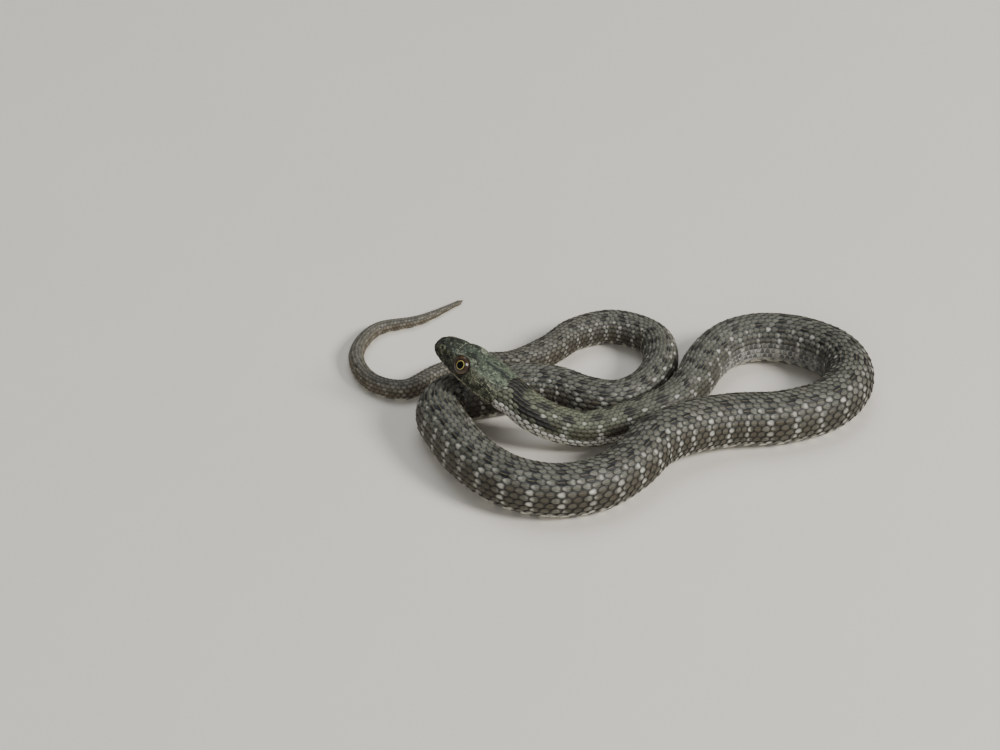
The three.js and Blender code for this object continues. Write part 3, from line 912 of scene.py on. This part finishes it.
def sheath():
    """The horn sheath of the head: grooves, eye openings, nostrils and the mouth line are cut in."""
    rows, round_count = 230, 288
    share = np.linspace(-1, 1, round_count, endpoint=False)
    turn = np.interp(np.abs(share), shares_of_turn[EYE_STATION], turns)
    back = np.linspace(0, 1, rows) ** 1.12
    at = 0.03 + back[:, None] * (np.interp(turn, *SHEATH_END.T) - 0.03)
    share, turn = np.broadcast_to(share, at.shape), np.broadcast_to(turn, at.shape)
    body = lay(at - HEAD_LENGTH, share, 0.0).reshape(-1, 3)
    way = table_at(outward, at - HEAD_LENGTH, share).reshape(-1, 3)
    near = {
        "seam_pale": nearest(body, both_sides(PALE_GROOVES)),
        "seam_dark": nearest(body, both_sides(DARK_GROOVES)),
        "seam_cheek": nearest(body, both_sides(CHEEK_GROOVES + lip_grooves())),
        "mouth": nearest(body, both_sides([MOUTH])),
        "nostril": nearest(body, both_sides([[NOSTRIL, NOSTRIL]])),
    }
    groove = np.minimum(np.minimum(near["seam_pale"], near["seam_dark"]), near["seam_cheek"])
    lift = -GROOVE_DEPTH * np.exp(-(groove / GROOVE_WIDTH) ** 2) - 0.05 * np.exp(-groove / 0.5)
    for where, around, long, wide, height in SWELLINGS:
        gap = ((at - where) / long) ** 2 + ((turn - around) / wide) ** 2
        lift = lift + height * np.exp(-0.5 * gap).ravel()
    # the mouth line and the nostrils: how deep and wide each is, and its raised rim
    for key, deep, wide, rim, rim_at, rim_wide in (
        ("mouth", 0.30, 0.13, 0.06, 0.3, 0.16), ("nostril", 0.42, 0.24, 0.07, 0.42, 0.14),
    ):
        lift = lift - deep * np.exp(-(near[key] / wide) ** 2)
        lift = lift + rim * np.exp(-((near[key] - rim_at) / rim_wide) ** 2)
    lift = lift - 0.07 * smooth(np.repeat(back, round_count), 0.97, 1)
    points, near["socket"] = open_sockets(body + way * lift[:, None])

    first, last = points[:round_count], points[-round_count:]
    tip, ahead = first.mean(0), eye_axes(1)[2]
    cap = [tip + (first - tip) * k + ahead * 0.10 * (1 - k * k) for k in (0.06, 0.35, 0.7)]
    points = np.vstack(cap + [points, last - way[-round_count:] * 0.24])

    def padded(numbers):
        numbers = np.asarray(numbers).reshape(rows, round_count)
        return np.vstack([numbers[:1]] * 3 + [numbers, numbers[-1:]]).ravel()

    values = {key: padded(numbers) for key, numbers in near.items()}
    values["from_snout"], values["turn"] = padded(at), padded(turn)
    back = padded(np.broadcast_to(back[:, None], at.shape))
    flat = np.stack([0.02 + 0.96 * back, 0.5 + 0.48 * padded(share)], 1)
    return points, tube_faces(rows + 4, round_count), values, flat


sheath_piece = make_piece("head_plates", *sheath())
plates = Finish("head plate horn", Specular_IOR_Level=0.3)
from_snout, turn = plates.read("from_snout"), plates.read("turn")
cloud, patch, grain = plates.noise(1.5, 3.0), plates.noise(0.7, 3.0), plates.noise(0.3, 3.0, 0.6)
snout = from_snout.under(2.6, 5.0)
cheek = (turn + 0.1 * plates.noise(0.7)).over(0.47, 0.62)
hind_head = from_snout.over(8.0, 11.5)
parietal = from_snout.over(8.6, 11.5) * patch.over(0.36, 0.62)
over_eye = turn.over(0.17, 0.23) * turn.under(0.38, 0.46)
over_eye = over_eye * from_snout.over(5.2, 6.4) * from_snout.under(8.7, 9.1)
chin = turn.over(1.24, 1.40)
cheek_seam = plates.read("seam_cheek")
off_crown = from_snout.over(9.6, 10.2) * from_snout.under(12.5, 14.0)
pale_edge = plates.read("seam_pale").under(0.03, 0.12) * (1 - 0.75 * off_crown)
cheek_edge = cheek_seam.under(0.12, 0.30) * (0.2 + 0.6 * hind_head) * cheek
fine = plates.noise(0.22, 2.0, 0.6).over(0.52, 0.60)
broad = plates.noise(0.55, 4.0, 0.7).over(0.50, 0.60)
speckle = (fine * 0.6 + broad * 0.65) * (1 - 0.75 * chin) * (1 - 0.35 * pale_edge)
dark_line = plates.read("seam_dark").under(0.03, 0.11)
cheek_line = cheek_seam.under(0.03, 0.10) * (0.75 - 0.4 * chin)
streak = (turn + 0.03 * plates.noise(0.5)).under(0.024, 0.05)
streak = streak * from_snout.over(10.2, 11.0) * from_snout.under(15.2, 15.9)
mouth, nostril, socket = plates.read("mouth"), plates.read("nostril"), plates.read("socket")
lip = mouth.under(0.14, 0.32) * from_snout.over(5.0, 7.5)
round_nostril = nostril.over(0.22, 0.36) * nostril.under(0.6, 0.95)
crown_tone = plates.coats(
    plates.mix(cloud.over(0.38, 0.62), "242921", "454d41"),
    (parietal * 0.75, "69725f"),
)
cheek_tone = plates.coats(
    plates.mix(patch.over(0.45, 0.60), "16170f", "4d4e3d"),
    (hind_head, plates.mix(patch.over(0.35, 0.65), "2b2e23", "5f6151")),
)
head_colour = plates.coats(
    plates.mix(cheek, crown_tone, cheek_tone),
    (snout * 0.9, plates.mix(patch.over(0.45, 0.62), "0b0c08", "2e3124")),
    (grain.over(0.55, 0.64) * (0.5 - 0.05 * snout), plates.mix(cheek, "8e9a82", "8c8d73")),
    (over_eye * 0.65, plates.mix(patch.over(0.35, 0.6), "59604f", "7f8672")),
    (cheek_edge * grain.over(0.38, 0.58), "93947b"),
    (pale_edge * grain.over(0.3, 0.6) * 0.8, "979c83"),
    (chin * 0.9, plates.mix(cloud, "a39e88", "b9b49f")),
    (speckle * 0.92, "0f110b"),
    (dark_line * 0.5 + cheek_line, plates.mix(pale_edge * 0.9, "191a13", "7b7d68")),
    (streak * 0.85, "1f2424"),
    (lip * grain.over(0.40, 0.56) * 0.85, "a3a188"),
    # painted shade: a near-black line along the mouth's groove
    (mouth.under(0.05, 0.14), "15120e"),
    (round_nostril * grain.over(0.35, 0.6) * 0.7, "6a6c55"),
    # painted shade: the inside of each nostril is painted near black
    (nostril.under(0.16, 0.3), "0c0b09"),
    # painted shade: a dark ring just outside each eye's opening, where the plates step down to the
    # eye
    (socket.under(0.06, 0.30) * 0.85, "15130d"),
    (socket.under(0.02, 0.14) * cloud.over(0.35, 0.6) * 0.6, "5f4c30"),
)
plates.wear([sheath_piece], head_colour, 0.5 + 0.2 * plates.noise(0.8), plates.noise(0.2, 3.0), 0.03)
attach(sheath_piece, "root")
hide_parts("head", "lower_jaw")

# ------------------------ the eyes
# Round flat eyes under a clear fixed scale, without lids: a black pupil, a thin gold
# ring round it and a brown iris with a dark edge. The plates round them meet their rims.


def eyeball(name, side, node):
    """One eye as a shallow dome of fine rings round the line that it looks along, closed behind."""
    middle, look, ahead, _ = eye_axes(side)
    first = unit(ahead - (ahead @ look) * look)
    second = np.cross(look, first)
    off = np.append(np.linspace(0.02, EYE_OPENING + 0.04, 44), [1.84, 1.5])
    height = np.sqrt(EYE_CURVE**2 - off**2) - EYE_CURVE + EYE_BULGE
    height = height + 0.015 * np.exp(-(off / 0.9) ** 2)
    height[-2:] = -0.25, -0.7
    spokes = 72
    spin = np.linspace(0, 2 * np.pi, spokes, endpoint=False)
    a, b = np.meshgrid(off, spin, indexing="ij")
    ring = np.cos(b)[..., None] * first + np.sin(b)[..., None] * second
    points = (middle + height[:, None, None] * look + a[..., None] * ring).reshape(-1, 3)
    faces = [block[:, ::-1] for block in tube_faces(len(off), spokes)]
    narrow = np.hypot(np.cos(b) / 0.9, np.sin(b))
    values = {"from_pupil": (a * (1 + (narrow - 1) * (1 - smooth(a, 0.9, 1.3)))).ravel()}
    out = np.linspace(0, 0.45, len(off))[:, None, None]
    flat = 0.5 + out * np.stack([np.cos(b), np.sin(b)], -1)
    made = make_piece(name, points, faces, values, flat.reshape(-1, 2))
    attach(made, "root")
    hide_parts(node)
    return made


eyes = [eyeball("left_eye", 1, "eye_left"), eyeball("right_eye", -1, "eye_right")]
iris = Finish(
    "eye under its clear scale",
    Coat_Weight=0.7, Coat_Roughness=0.03, Specular_IOR_Level=0.1,
)
off, fleck = iris.read("from_pupil"), iris.noise(0.16, 3.0)
glow = off.over(1.36, 1.5) * iris.noise(0.9).over(0.4, 0.6)
ring = off.over(0.74, 0.79) * off.under(0.87, 0.93)
eye_colour = iris.coats(
    iris.mix(fleck, "231a13", "4c3d33"),
    (off.under(0.92, 1.22), "1a120d"),
    (glow * 0.4, "7d6638"),
    (off.over(1.56, 1.68), "0d0a08"),
    (ring, iris.mix(fleck, "8f8440", "c9b96c")),
    (off.under(0.71, 0.77), "030303"),
)
iris.wear(eyes, eye_colour, 0.22)

# ------------------------ floor, light and camera
# A plain pale studio floor that runs up behind as a sweep, a large soft key light
# from high on the right, a broad fill and a weak light from behind.

CAMERA_AIM = (-0.0211, 0.0112, 0.0)
CAMERA_AWAY = 0.6
CAMERA_RISE = math.radians(36)
LENS_LENGTH, SENSOR_WIDTH = 111.24, 36.0
SWEEP_START, SWEEP_RADIUS = 1.6, 0.8

bend, across = np.linspace(0.1, 1.5, 10), np.linspace(-2.6, 2.6, 9)
reach = np.append(np.linspace(-2.0, SWEEP_START, 10), SWEEP_START + SWEEP_RADIUS * np.sin(bend))
rise = np.append(np.zeros(10), SWEEP_RADIUS * (1 - np.cos(bend)))
points = np.array([(x, y, z) for y, z in zip(reach, rise) for x in across]) / MM
floor = make_piece("studio_floor", points, [grid_faces(len(reach), len(across))])
paper = Finish("pale studio paper")
paper_colour = paper.mix(paper.noise(30.0, 3.0), "d9d4ca", "dfdad1")
paper.wear([floor], paper_colour, 0.85, paper.noise(0.8, 3.0), 0.02)


def soft_light(name, place, size, power, colour, glints=True, lit=True):
    """A square soft light turned to the snake; glints and lit say what it shows in."""
    lamp = bpy.data.lights.new(name, "AREA")
    lamp.shape, lamp.size, lamp.energy, lamp.color = "SQUARE", size, power, colour
    made = bpy.data.objects.new(name, lamp)
    made.location = place
    made.rotation_euler = (Vector((0, 0, 0.005)) - Vector(place)).to_track_quat("-Z", "Y").to_euler()
    made.visible_glossy, made.visible_diffuse = glints, lit
    bpy.context.scene.collection.objects.link(made)


soft_light("key", (0.75, -0.35, 0.62), 0.30, 12.0, (1.0, 0.98, 0.96))
soft_light("fill", (-0.2, -1.0, 0.42), 0.8, 4.0, (0.98, 0.98, 1.0), glints=False)
soft_light("window", (-0.079, -0.545, 0.529), 0.2, 2.0, (0.93, 0.95, 1.0), lit=False)
soft_light("sky", (-0.05, 0.45, 1.1), 0.9, 7.0, (0.96, 0.98, 1.0))
world = bpy.data.worlds.new("studio air")
world.use_nodes = True
air = world.node_tree.nodes["Background"].inputs
air["Color"].default_value = (0.86, 0.9, 0.9, 1)
air["Strength"].default_value = 0.17
bpy.context.scene.world = world

lens = bpy.data.cameras.new("camera")
lens.sensor_width, lens.lens = SENSOR_WIDTH, LENS_LENGTH
camera = bpy.data.objects.new("camera", lens)
camera.location = (
    CAMERA_AIM[0],
    CAMERA_AIM[1] - CAMERA_AWAY * math.cos(CAMERA_RISE),
    CAMERA_AIM[2] + CAMERA_AWAY * math.sin(CAMERA_RISE),
)
camera.rotation_euler = (math.pi / 2 - CAMERA_RISE, 0, 0)
bpy.context.scene.collection.objects.link(camera)
bpy.context.scene.camera = camera
